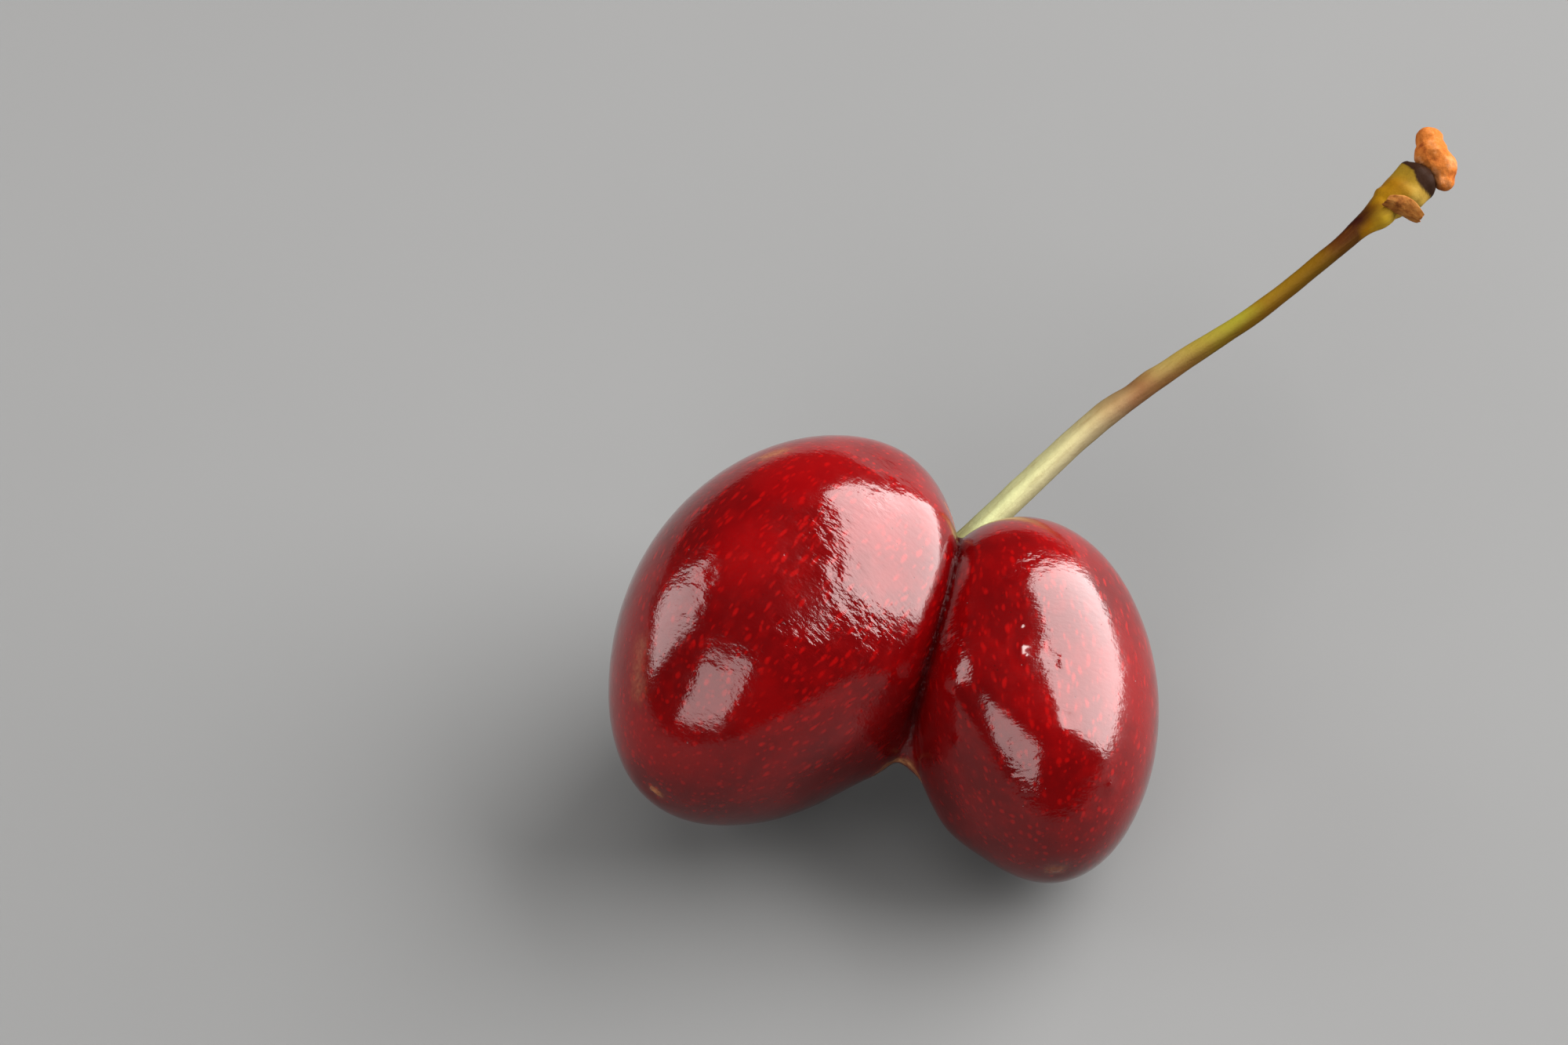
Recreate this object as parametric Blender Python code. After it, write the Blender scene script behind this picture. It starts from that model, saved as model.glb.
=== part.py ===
"""A twin sweet cherry: two drupes grown into one fruit on a single stem, lying on a table.

Metres, +Z up. The shapes are set out in millimetres round the seam where the two lobes meet,
with the table at z = 0. The finished part is then moved so that the bottom centre of its box is
the origin.
"""
import math

import bpy
from mathutils import Vector

MM = 0.001

# ---- driving dimensions, in millimetres and degrees ----
# A lobe is an egg: half its width, height and length, the heading of its long axis from +X
# towards +Y, the rise of its stem end, and how its sections swell towards the stem end (taper)
# and thin towards both ends (barrel).
LEFT_LOBE = {
    "middle": (-9.2, -0.9), "half_size": (9.26, 10.81, 13.43),
    "heading": 54.9, "rise": 7.5, "taper": 0.02, "barrel": -0.11,
}
RIGHT_LOBE = {
    "middle": (5.8, -4.4), "half_size": (7.32, 8.48, 11.55),
    "heading": 95.1, "rise": 8.2, "taper": 0.054, "barrel": -0.02,
}
LOBE_SEGMENTS, LOBE_RINGS = 40, 26
REST_DEPTH = 0.25           # how much of each lobe's underside is flattened where it rests
TABLE_CUT_WIDTH, TABLE_CUT_DEPTH = 60.0, 10.0

WEB_MIDDLE = (-1.7, -4.9, 7.0)      # bridge of flesh in the crotch between the lobes
WEB_HALF_SIZE = (1.5, 2.6, 2.4)

# The stem's centre line, from its foot in the groove to its collar: x, y, z and radius.
STEM_POINTS = [
    (1.4, 5.1, 10.9, 0.98),
    (2.1, 5.8, 11.1, 0.84),
    (5.2, 8.9, 11.95, 0.81),
    (10.0, 13.4, 13.3, 0.78),
    (14.9, 17.2, 14.1, 0.67),
    (19.9, 20.85, 14.8, 0.555),
    (24.8, 24.95, 15.9, 0.55),
    (26.4, 26.45, 16.3, 0.63),
    (27.5, 27.35, 16.55, 0.9),
    (28.3, 28.1, 16.75, 1.12),
    (29.2, 28.9, 16.9, 1.25),
    (30.15, 29.75, 17.1, 1.4),
]
STEM_STEP = 1.0             # distance between the points of the finished stem
STEM_BEVEL_RESOLUTION = 4   # 12 sides
GAP = 0.3                   # clearance between pieces that touch
SOCKET_LENGTH, SOCKET_SIDES = 4.0, 24

# Pieces at the collar: middles, half sizes along, across and through, and turns in degrees.
SPUR_UPPER = ((31.05, 32.45, 18.05), (0.9, 0.95, 0.95))
SPUR_LOWER = ((31.8, 30.75, 17.3), (1.05, 1.55, 1.2))
SPUR_NECK = ((30.8, 30.35, 17.25), (0.6, 0.8, 0.8))
SPUR_TURN = (45.0, -10.0, 41.0)
SCALE_MIDDLE = (29.5, 26.8, 17.0)
SCALE_HALF_SIZE = (1.25, 0.3, 0.75)
SCALE_TURN = (-9.0, 30.0, -8.0)
SMALL_SEGMENTS, SMALL_RINGS = 20, 12

SKIN_RED = (0.19, 0.004, 0.006, 1.0)
STEM_GREEN = (0.55, 0.52, 0.18, 1.0)
CORK_ORANGE = (0.55, 0.2, 0.055, 1.0)
SCALE_BROWN = (0.35, 0.14, 0.05, 1.0)


def clear_scene():
    """Remove whatever objects the file opened with."""
    for thing in list(bpy.data.objects):
        bpy.data.objects.remove(thing, do_unlink=True)


def new_collection(name):
    """Add a collection to the scene."""
    made = bpy.data.collections.new(name)
    bpy.context.scene.collection.children.link(made)
    return made


def move_to(thing, collection):
    """Leave an object in this collection only."""
    for old in list(thing.users_collection):
        old.objects.unlink(thing)
    collection.objects.link(thing)


def finish(thing, name, colour, roughness):
    """Give an object its own Principled material."""
    material = bpy.data.materials.new(name)
    material.use_nodes = True
    shader = material.node_tree.nodes["Principled BSDF"]
    shader.inputs["Base Color"].default_value = colour
    shader.inputs["Roughness"].default_value = roughness
    shader.inputs["Metallic"].default_value = 0.0
    thing.data.materials.clear()
    thing.data.materials.append(material)


def egg(name, half_size, segments, rings, taper=0.0, barrel=0.0):
    """A closed egg along its own Z axis, made from a unit sphere."""
    bpy.ops.mesh.primitive_uv_sphere_add(segments=segments, ring_count=rings, radius=1.0)
    thing = bpy.context.object
    thing.name = name
    for vert in thing.data.vertices:
        x, y, z = vert.co
        swell = 1.0 + taper * z + barrel * z * z
        vert.co = (x * half_size[0] * swell * MM, y * half_size[1] * swell * MM,
                   z * half_size[2] * MM)
    thing.data.shade_smooth()
    return thing


def lobe(name, size, collection):
    """One cherry of the pair, lying on its side and sunk REST_DEPTH into the table."""
    thing = egg(name, size["half_size"], LOBE_SEGMENTS, LOBE_RINGS, size["taper"], size["barrel"])
    thing.rotation_euler = (math.radians(90.0 - size["rise"]), 0.0,
                            math.radians(size["heading"] + 90.0))
    bpy.context.view_layer.update()
    lowest = min((thing.matrix_world @ vert.co).z for vert in thing.data.vertices)
    thing.location = (size["middle"][0] * MM, size["middle"][1] * MM, -lowest - REST_DEPTH * MM)
    move_to(thing, collection)
    return thing


def blob(name, middle, half_size, turn, collection):
    """A small closed ellipsoid, turned by three angles in degrees."""
    thing = egg(name, half_size, SMALL_SEGMENTS, SMALL_RINGS)
    thing.location = Vector(middle) * MM
    thing.rotation_euler = [math.radians(angle) for angle in turn]
    move_to(thing, collection)
    return thing


def combine(thing, other, operation):
    """Join another solid to this one, or cut it away."""
    step = thing.modifiers.new(operation.lower() + "_" + other.name, "BOOLEAN")
    step.operation = operation
    step.object = other
    step.solver = "EXACT"
    other.hide_render = True
    other.display_type = "WIRE"


def curve_through(points, step):
    """Points about a step apart on a smooth curve through the given ones (Catmull-Rom)."""
    ends = [tuple(2.0 * a - b for a, b in zip(points[0], points[1]))]
    tail = [tuple(2.0 * a - b for a, b in zip(points[-1], points[-2]))]
    path = ends + list(points) + tail
    made = []
    for before, start, stop, after in zip(path, path[1:], path[2:], path[3:]):
        pieces = max(1, round(math.dist(start[:3], stop[:3]) / step))
        for index in range(pieces):
            t = index / pieces
            made.append(tuple(
                0.5 * (2.0 * b + (c - a) * t + (2.0 * a - 5.0 * b + 4.0 * c - d) * t * t
                       + (3.0 * b - a - 3.0 * c + d) * t ** 3)
                for a, b, c, d in zip(before, start, stop, after)))
    made.append(tuple(points[-1]))
    return made


def tube(name, points, collection):
    """A tapering tube with filled ends along points of x, y, z and radius."""
    data = bpy.data.curves.new(name, "CURVE")
    data.dimensions = "3D"
    data.bevel_depth = MM
    data.bevel_resolution = STEM_BEVEL_RESOLUTION
    data.use_fill_caps = True
    spline = data.splines.new("POLY")
    spline.points.add(len(points) - 1)
    for target, (x, y, z, radius) in zip(spline.points, points):
        target.co = (x * MM, y * MM, z * MM, 1.0)
        target.radius = radius
    thing = bpy.data.objects.new(name, data)
    collection.objects.link(thing)
    return thing


def stem_socket(collection):
    """The round hollow in the groove that leaves the stem's foot room."""
    foot = Vector(STEM_POINTS[0][:3])
    along = (Vector(STEM_POINTS[2][:3]) - foot).normalized()
    radius = (STEM_POINTS[0][3] + GAP) * MM
    bpy.ops.mesh.primitive_cylinder_add(vertices=SOCKET_SIDES, radius=radius,
                                        depth=SOCKET_LENGTH * MM)
    cutter = bpy.context.object
    cutter.name = "stem_socket"
    cutter.rotation_euler = along.to_track_quat("Z", "Y").to_euler()
    cutter.location = (foot + along * (SOCKET_LENGTH / 2.0 - GAP)) * MM
    move_to(cutter, collection)
    return cutter


def table_cut(collection):
    """A slab under the table top: what it cuts off leaves the two small rest spots."""
    bpy.ops.mesh.primitive_cube_add(size=1.0)
    slab = bpy.context.object
    slab.name = "table_cut"
    slab.scale = (TABLE_CUT_WIDTH * MM, TABLE_CUT_WIDTH * MM, TABLE_CUT_DEPTH * MM)
    slab.location = (0.0, 0.0, -TABLE_CUT_DEPTH * MM / 2.0)
    move_to(slab, collection)
    return slab


def twin_fruit(parts, cutters):
    """The fruit: two lobes and the web between them, grown as one body."""
    fruit = lobe("twin_fruit", LEFT_LOBE, parts)
    combine(fruit, lobe("right_lobe", RIGHT_LOBE, cutters), "UNION")
    combine(fruit, blob("crotch_web", WEB_MIDDLE, WEB_HALF_SIZE, (0, 0, 0), cutters), "UNION")
    combine(fruit, stem_socket(cutters), "DIFFERENCE")
    combine(fruit, table_cut(cutters), "DIFFERENCE")
    finish(fruit, "cherry_skin", SKIN_RED, 0.22)
    return fruit


def stem(parts):
    """The stalk, with the swollen collar where it left the branch."""
    stalk = tube("stem", curve_through(STEM_POINTS, STEM_STEP), parts)
    finish(stalk, "stem_green", STEM_GREEN, 0.5)
    return stalk


def spur_cork(parts, cutters):
    """The corky crumb of the fruiting spur that came away with the stem."""
    cork = blob("spur_cork", *SPUR_LOWER, SPUR_TURN, parts)
    combine(cork, blob("spur_upper", *SPUR_UPPER, SPUR_TURN, cutters), "UNION")
    combine(cork, blob("spur_neck", *SPUR_NECK, SPUR_TURN, cutters), "UNION")
    finish(cork, "spur_cork", CORK_ORANGE, 0.85)
    return cork


def bud_scale(parts):
    """The dry bud scale that clings to the underside of the collar."""
    scale = blob("bud_scale", SCALE_MIDDLE, SCALE_HALF_SIZE, SCALE_TURN, parts)
    finish(scale, "bud_scale", SCALE_BROWN, 0.8)
    return scale


def box_centre(things):
    """The middle in X and Y of the box round the finished pieces."""
    bpy.context.view_layer.update()
    graph = bpy.context.evaluated_depsgraph_get()
    corners = []
    for thing in things:
        evaluated = thing.evaluated_get(graph)
        mesh = evaluated.to_mesh()
        corners.extend(thing.matrix_world @ vert.co for vert in mesh.vertices)
        evaluated.to_mesh_clear()
    xs = [corner.x for corner in corners]
    ys = [corner.y for corner in corners]
    return (min(xs) + max(xs)) / 2.0, (min(ys) + max(ys)) / 2.0


def build():
    """Make the pieces and put the bottom centre of their box at the origin."""
    clear_scene()
    parts = new_collection("twin_cherry")
    cutters = new_collection("cutters")
    pieces = [twin_fruit(parts, cutters), stem(parts), spur_cork(parts, cutters), bud_scale(parts)]
    centre_x, centre_y = box_centre(pieces)
    origin = bpy.data.objects.new("cherry_origin", None)
    parts.objects.link(origin)
    for thing in pieces + list(cutters.objects):
        thing.parent = origin
    origin.location = (-centre_x, -centre_y, 0.0)


build()
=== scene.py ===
"""A twin sweet cherry on its stem, lying on a pale table.

The fruit, its stem, the crumb of cork and the bud scale at the stem's collar are modelled in
millimetres round the seam between the two lobes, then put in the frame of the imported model.
"""

import math

import bmesh
import bpy
import numpy as np
from mathutils import Euler, Matrix, Vector, noise


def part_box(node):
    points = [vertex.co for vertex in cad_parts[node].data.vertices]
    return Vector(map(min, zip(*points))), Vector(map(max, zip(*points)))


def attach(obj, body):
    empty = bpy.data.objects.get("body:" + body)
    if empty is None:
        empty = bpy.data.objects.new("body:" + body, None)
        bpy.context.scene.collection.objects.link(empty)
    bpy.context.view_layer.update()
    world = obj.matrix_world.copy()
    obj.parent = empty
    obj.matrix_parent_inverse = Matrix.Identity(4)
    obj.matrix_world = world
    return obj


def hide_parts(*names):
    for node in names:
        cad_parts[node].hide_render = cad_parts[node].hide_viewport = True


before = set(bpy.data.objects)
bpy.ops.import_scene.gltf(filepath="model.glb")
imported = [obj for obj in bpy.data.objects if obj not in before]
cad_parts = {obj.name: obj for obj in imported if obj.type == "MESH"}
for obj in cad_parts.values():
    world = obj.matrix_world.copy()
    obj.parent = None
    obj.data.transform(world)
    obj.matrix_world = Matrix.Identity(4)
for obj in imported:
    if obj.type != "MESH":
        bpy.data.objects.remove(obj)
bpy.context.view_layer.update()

MM = 0.001

# ---- the fruit, in millimetres and degrees ----
# Half its width, height and length, the heading of its long axis from +X towards +Y, the rise of
# its stem end, and how its sections swell towards the stem end and thin towards both ends.
LEFT_LOBE = {
    "middle": (-9.19, -0.91, 10.55), "half_size": (9.26, 10.81, 13.43),
    "heading": 54.9, "rise": 7.5, "taper": 0.02, "barrel": -0.11,
}
RIGHT_LOBE = {
    "middle": (5.78, -4.43, 8.23), "half_size": (7.32, 8.48, 11.55),
    "heading": 95.1, "rise": 8.2, "taper": 0.054, "barrel": -0.02,
}
ROUGH_GRAIN, SKIN_GRAIN = 0.25, 0.192       # spacing of the first body's points and the skin's
CREASE = 0.4                # how far the two skins round into each other along the seam
WEB_CREASE, WEB_MIDDLE, WEB_REACH = 3.9, (-1.1, -7.65, 6.1), 2.0     # the flesh in the crotch
# Where the lobes swell against each other beside the seam: a stretch, its reach and its height.
SWELLINGS = {
    "left": [((1.05, 1.8, 17.55), (-1.3, -6.5, 13.35), 3.2, 0.89),
             ((-8.55, -1.75, 20.4), (-7.4, -6.2, 21.35), 3.1, -0.5),
             ((-3.7, 4.5, 17.8), (-4.95, -2.2, 17.3), 2.1, -0.38),
             ((-2.3, -7.2, 7.2), (-3.1, -7.6, 7.0), 2.2, 0.8)],
    "right": [((2.15, 0.7, 16.4), (1.3, -7.8, 14.7), 4.7, 0.92),
              ((1.85, -9.3, 11.15), (4.1, -13.0, 11.95), 3.5, 0.19),
              ((1.2, -8.5, 15.7), (5.9, -11.35, 13.7), 2.9, 0.83),
              ((9.3, -0.95, 14.5), (11.4, -7.8, 15.1), 3.25, -0.25),
              ((0.1, -8.9, 6.4), (0.7, -10.5, 4.8), 2.6, 0.75)],
}
LEFT_LOW_X = -19.63         # the left lobe's outermost point, which lies on the box of the fruit
RIGHT_LOW_Y = -15.88        # the right lobe's foremost point, likewise
PAST_TIP = 1.2              # how far beyond a lobe's tips its sections go on changing
EGG_SEGMENTS, EGG_RINGS = 96, 64                            # of the rough body's lobes
WEB_BALL_MIDDLE, WEB_BALL_RADIUS = (-1.6, -5.8, 7.0), 2.0   # of the rough body's web
SLOPE_STEP = 0.01           # how far apart the skin is felt to find which way it faces
SETTLING_ROUNDS = 6         # moves towards the skin before a place counts as on it


def unit(vector):
    """A direction of length 1 as an array."""
    return np.asarray(vector, float) / np.linalg.norm(vector)


def lobe_axes(lobe):
    """Columns: across, up and along the lobe."""
    heading, rise = math.radians(lobe["heading"]), math.radians(lobe["rise"])
    along = np.array([math.cos(heading) * math.cos(rise), math.sin(heading) * math.cos(rise),
                      math.sin(rise)])
    across = unit(np.cross(along, (0.0, 0.0, 1.0)))
    return np.column_stack([across, np.cross(across, along), along])


def egg_depth(points, lobe):
    """Distance of points from a lobe's skin, negative inside, and their place along its axes."""
    local = (points - np.array(lobe["middle"])) @ lobe_axes(lobe)
    half = lobe["half_size"]
    way = np.clip(local[:, 2] / half[2], -PAST_TIP, PAST_TIP)
    swell = 1.0 + lobe["taper"] * way + lobe["barrel"] * way * way
    stretch = np.sqrt((local[:, 0] / (half[0] * swell)) ** 2
                      + (local[:, 1] / (half[1] * swell)) ** 2 + (local[:, 2] / half[2]) ** 2)
    return np.linalg.norm(local, axis=1) * (1.0 - 1.0 / np.maximum(stretch, 1e-6)), local


def near(points, middle, reach):
    """1 at a place, falling smoothly to 0 a few reaches away."""
    return np.exp(-np.sum((points - np.array(middle)) ** 2, axis=1) / reach ** 2)


def from_line(points, start, stop):
    """Distance of points from a straight stretch."""
    start, way = np.array(start, float), np.array(stop, float) - np.array(start, float)
    share = np.clip((points - start) @ way / max(way @ way, 1e-9), 0.0, 1.0)
    return np.linalg.norm(points - start - share[:, None] * way, axis=1)


def soft_lower(first, second, width):
    """The lower of two fields, rounded where they meet."""
    meet = np.clip(width - np.abs(first - second), 0.0, None) / width
    return np.minimum(first, second) - width * meet * meet / 4.0


# ---- the stem's centre line: x, y, z and radius ----
STEM_POINTS = [
    (1.3, 5.0, 10.85, 1.0),
    (2.1, 5.8, 11.1, 0.84),
    (5.2, 8.9, 11.95, 0.81),
    (10.0, 13.4, 13.3, 0.78),
    (14.9, 17.2, 14.1, 0.67),
    (19.9, 20.85, 14.8, 0.555),
    (24.8, 24.95, 15.9, 0.55),
    (26.4, 26.45, 16.3, 0.63),
    (27.5, 27.35, 16.55, 0.88),
    (28.3, 28.1, 16.75, 1.08),
    (29.2, 28.9, 16.9, 1.22),
    (30.15, 29.75, 17.1, 1.36),
]
SOCKET_RADIUS, SOCKET_LENGTH, SOCKET_EDGE = 1.12, 3.0, 0.5      # the hollow for the stem's foot
REST_EDGE = 0.12                        # how much the rim of each rest spot is rounded


def lobe_depths(points):
    """Distance of points from each lobe's skin, with the swellings beside the seam."""
    depths = []
    for side, lobe in (("left", LEFT_LOBE), ("right", RIGHT_LOBE)):
        depth = egg_depth(points, lobe)[0]
        for start, stop, reach, height in SWELLINGS[side]:
            depth -= height * np.exp(-(from_line(points, start, stop) / reach) ** 2)
        depths.append(depth)
    return depths


def skin_depth(points):
    """About how far points are from the whole fruit's skin, negative inside."""
    left, right = lobe_depths(points)
    web = near(points, WEB_MIDDLE, WEB_REACH)
    joined = soft_lower(left, right, CREASE + (WEB_CREASE - CREASE) * web)
    foot = np.array(STEM_POINTS[0][:3])
    way = unit(np.array(STEM_POINTS[2][:3]) - foot)
    socket = from_line(points, foot, foot + way * SOCKET_LENGTH) - SOCKET_RADIUS
    joined = -soft_lower(-joined, socket, SOCKET_EDGE)
    return -soft_lower(-joined, points[:, 2], REST_EDGE)


def skin_slope(points):
    """Which way the skin faces at points, as unit vectors."""
    slope = np.empty_like(points)
    for axis in range(3):
        shift = np.zeros(3)
        shift[axis] = SLOPE_STEP
        slope[:, axis] = skin_depth(points + shift) - skin_depth(points - shift)
    return slope / np.maximum(np.linalg.norm(slope, axis=1), 1e-12)[:, None]


def on_skin(places):
    """Move places by the shortest way onto the fruit's skin."""
    points = np.array(places, float).reshape(-1, 3)
    for _ in range(SETTLING_ROUNDS):
        points -= skin_slope(points) * skin_depth(points)[:, None]
    return points


def points_of(mesh):
    """A mesh's points as an array."""
    flat = np.empty(len(mesh.vertices) * 3, np.float32)
    mesh.vertices.foreach_get("co", flat)
    return flat.reshape(-1, 3).astype(float)


def put_points(mesh, points):
    """Write an array back as a mesh's points."""
    mesh.vertices.foreach_set("co", np.asarray(points, np.float32).ravel())
    mesh.update()


def keep(mesh, name, values):
    """Store a number or a vector for each point of a mesh."""
    values = np.asarray(values, np.float32)
    kind, field = ("FLOAT", "value") if values.ndim == 1 else ("FLOAT_VECTOR", "vector")
    mesh.attributes.new(name, kind, "POINT").data.foreach_set(field, values.ravel())


def grain_of(points, size, seed=0.0):
    """Smooth noise between -1 and 1 with lumps about this size."""
    return np.array([noise.noise(Vector(point) / size + Vector((seed, seed, seed)))
                     for point in points])


def object_of(name, shape):
    """Turn a bmesh into an object of the scene."""
    mesh = bpy.data.meshes.new(name)
    shape.to_mesh(mesh)
    shape.free()
    thing = bpy.data.objects.new(name, mesh)
    bpy.context.scene.collection.objects.link(thing)
    return thing


def fused(thing, grain):
    """Replace an object's overlapping bodies with one even skin."""
    step = thing.modifiers.new("fuse", "REMESH")
    step.mode = "VOXEL"
    step.voxel_size = grain
    step.adaptivity = 0.0
    graph = bpy.context.evaluated_depsgraph_get()
    mesh = bpy.data.meshes.new_from_object(thing.evaluated_get(graph))
    thing.modifiers.clear()
    old, thing.data = thing.data, mesh
    bpy.data.meshes.remove(old)
    return thing


def into_frame(thing):
    """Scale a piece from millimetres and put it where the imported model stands."""
    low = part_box("twin_fruit")[0]
    shift = Vector((low.x - LEFT_LOW_X * MM, low.y - RIGHT_LOW_Y * MM, 0.0))
    thing.data.transform(Matrix.Translation(shift) @ Matrix.Scale(MM, 4))
    for face in thing.data.polygons:
        face.use_smooth = True
    thing.data.update()
    return thing


# ---- marks on the skin: where they start and stop, how wide they are, how strong ----
# Each place is moved by the shortest way onto the skin before it is used.
BLOSSOM_SCARS = [
    ((-16.95, -11.78, 9.15), (-16.6, -11.98, 8.95), 0.2, 1.0),      # on the left lobe
    ((6.86, -15.81, 6.58), (6.5, -15.8, 6.6), 0.35, 0.4),           # on the right lobe
]
DRY_SCARS = [
    ((-10.3, 5.0, 19.6), (-9.4, 5.3, 19.6), 0.45, 0.55),
    ((0.43, 4.4, 15.6), (0.6, 4.0, 14.4), 0.35, 0.6),
    ((-17.5, -6.4, 15.9), (-17.8, -8.6, 14.4), 0.5, 0.22),
    ((6.0, 4.4, 14.1), (7.6, 4.3, 14.0), 0.3, 0.15),
    ((-4.0, -8.4, 6.3), (-3.2, -8.4, 7.05), 0.25, 0.55),            # the web's dry edge
    ((-3.2, -8.4, 7.05), (-2.45, -7.85, 6.9), 0.25, 0.9),
    ((-2.45, -7.85, 6.9), (-1.76, -8.15, 6.85), 0.25, 0.9),
    ((-1.76, -8.15, 6.85), (-1.1, -8.9, 6.35), 0.25, 0.7),
]
# Pale crumbs stuck to the right lobe: where they start and stop, and how wide they are.
SPECKS = [
    ((4.66, -7.0, 16.2), (4.95, -7.1, 16.2), 0.08),
    ((4.66, -7.0, 16.2), (4.62, -7.4, 16.1), 0.08),
    ((4.62, -7.4, 16.1), (4.82, -7.6, 16.1), 0.11),
    ((4.66, -5.7, 16.5), (4.7, -5.85, 16.5), 0.06),
    ((4.95, -5.35, 16.6), (4.97, -5.4, 16.6), 0.05),
    ((5.5, -6.95, 16.25), (5.6, -7.0, 16.25), 0.045),
]
SPECK_HEIGHT = 0.02
# Small hollows (negative) and pimples: place, reach and height.
DIMPLES = [
    ((4.0, -11.34, 13.83), 0.32, -0.05),
    ((1.55, -10.53, 12.42), 0.42, 0.12),
    ((9.84, -12.95, 11.07), 0.4, 0.07),
    ((6.44, -7.62, 16.09), 0.5, -0.07),
    ((6.9, -8.0, 15.95), 0.35, 0.05),
    ((7.03, -10.78, 14.58), 0.4, -0.06),
    ((-11.03, 0.83, 21.0), 0.3, -0.03),
    ((-9.2, -7.45, 19.01), 0.6, -0.05),
    ((-8.7, -7.9, 18.7), 0.4, 0.04),
    ((-13.52, -4.38, 19.91), 0.7, -0.05),
    ((-16.78, -11.88, 9.06), 0.9, -0.12),
    ((6.86, -15.81, 6.58), 1.0, -0.12),
]
# Patches of crinkled skin: middle, reach and strength.
CRINKLES = [
    ((-6.5, -1.4, 21.0), 1.4, 1.0), ((-5.8, -3.7, 20.1), 1.7, 1.0), ((-5.3, -5.5, 18.8), 1.5, 1.0),
    ((-4.2, -6.4, 17.0), 1.4, 0.9), ((-7.4, -7.9, 18.1), 1.0, 0.8), ((-8.8, -8.6, 17.9), 0.8, 0.7),
    ((-3.7, 1.2, 20.0), 1.2, 0.8), ((-2.3, 3.1, 18.8), 1.0, 0.8), ((-9.1, -7.5, 18.9), 0.9, 0.9),
    ((-14.6, -4.3, 19.3), 1.6, 0.4), ((-15.1, -6.0, 18.5), 1.2, 0.45),
    ((-13.4, -9.8, 16.7), 1.5, 0.35), ((-11.6, -8.8, 18.1), 0.7, 0.5),
    ((4.2, -1.7, 16.6), 1.1, 0.9), ((5.3, -1.0, 16.7), 0.9, 0.8), ((1.1, -5.7, 14.6), 1.6, 0.6),
    ((2.2, -7.8, 14.8), 1.3, 0.4), ((4.7, -12.3, 13.4), 0.9, 0.5), ((4.9, -13.6, 12.1), 0.8, 0.6),
    ((6.4, -7.8, 16.0), 0.6, 0.5),
]
WAVE_HEIGHT, WAVE_SIZE = 0.05, 6.5          # the broad unevenness of the whole skin
SWELL_HEIGHT, SWELL_SIZE = 0.016, 2.4       # and the finer one on top of it
FOLD_HEIGHT, CRINKLE_HEIGHT = 0.003, 0.055  # folds on plain skin, and what crinkled skin adds
FOLD_SIZE, BROAD_FOLD_SIZE, BROAD_FOLD_SHARE = 0.5, 0.85, 0.7
BLOSSOM_HEIGHT, BLOSSOM_WIDTH = 0.14, 0.7   # the blossom scars' ridges; the width is a share
GROOVE_REACH = 0.8                          # how far the painted shade of the seam spreads
REST_FADE = 0.6                             # the relief dies out this low above the table
LOBES_APART = np.array([40.0, 0.0, 0.0])    # keeps the two lobes' patterns from meeting


def lobe_place(points):
    """Place along the axes of whichever lobe a point belongs to; the right lobe's is set apart."""
    left, left_local = egg_depth(points, LEFT_LOBE)
    right, right_local = egg_depth(points, RIGHT_LOBE)
    return np.where((left < right)[:, None], left_local, right_local + LOBES_APART)


def from_mark(points, start, stop):
    """Distance of points from a mark's line on the skin."""
    return from_line(points, *on_skin([start, stop]))


def skin_relief(points):
    """How far the skin stands proud of the plain lobes, and the crinkled share of each place."""
    place = lobe_place(points)
    height = (WAVE_HEIGHT * grain_of(points, WAVE_SIZE)
              + SWELL_HEIGHT * grain_of(points, SWELL_SIZE, 7.0))
    crinkle = np.zeros(len(points))
    for middle, reach, strength in CRINKLES:
        crinkle = np.maximum(crinkle, strength * near(points, on_skin(middle), reach))
    broad = grain_of(place * (0.8, 0.8, 1.0), BROAD_FOLD_SIZE, 11.0)
    fold = grain_of(place * (0.55, 0.55, 1.0), FOLD_SIZE, 3.0) + BROAD_FOLD_SHARE * broad
    height += (FOLD_HEIGHT + CRINKLE_HEIGHT * crinkle) * fold
    for middle, reach, rise in DIMPLES:
        height += rise * near(points, on_skin(middle), reach)
    for start, stop, width in SPECKS:
        height += SPECK_HEIGHT * np.exp(-(from_mark(points, start, stop) / width) ** 2)
    for start, stop, width, strength in BLOSSOM_SCARS:
        away = from_mark(points, start, stop) / (width * BLOSSOM_WIDTH)
        height += BLOSSOM_HEIGHT * strength * np.exp(-away ** 2)
    return height, crinkle


def scar_share(points):
    """How dry and tan the skin is at points, from 0 to 1."""
    ragged = 1.0 + 0.5 * grain_of(points, 0.35, 5.0)
    share = np.zeros(len(points))
    for start, stop, width, strength in BLOSSOM_SCARS + DRY_SCARS:
        away = from_mark(points, start, stop) / (width * ragged)
        share = np.maximum(share, strength * np.exp(-away ** 2 * 0.7))
    return share


def speck_share(points):
    """How much of a pale crumb covers points, from 0 to 1."""
    share = np.zeros(len(points))
    for start, stop, width in SPECKS:
        share = np.maximum(share, np.exp(-(from_mark(points, start, stop) / width) ** 2))
    return share


def settled(thing):
    """Lay a rough body's skin on the fruit's skin."""
    put_points(thing.data, on_skin(points_of(thing.data)))
    return thing


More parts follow.
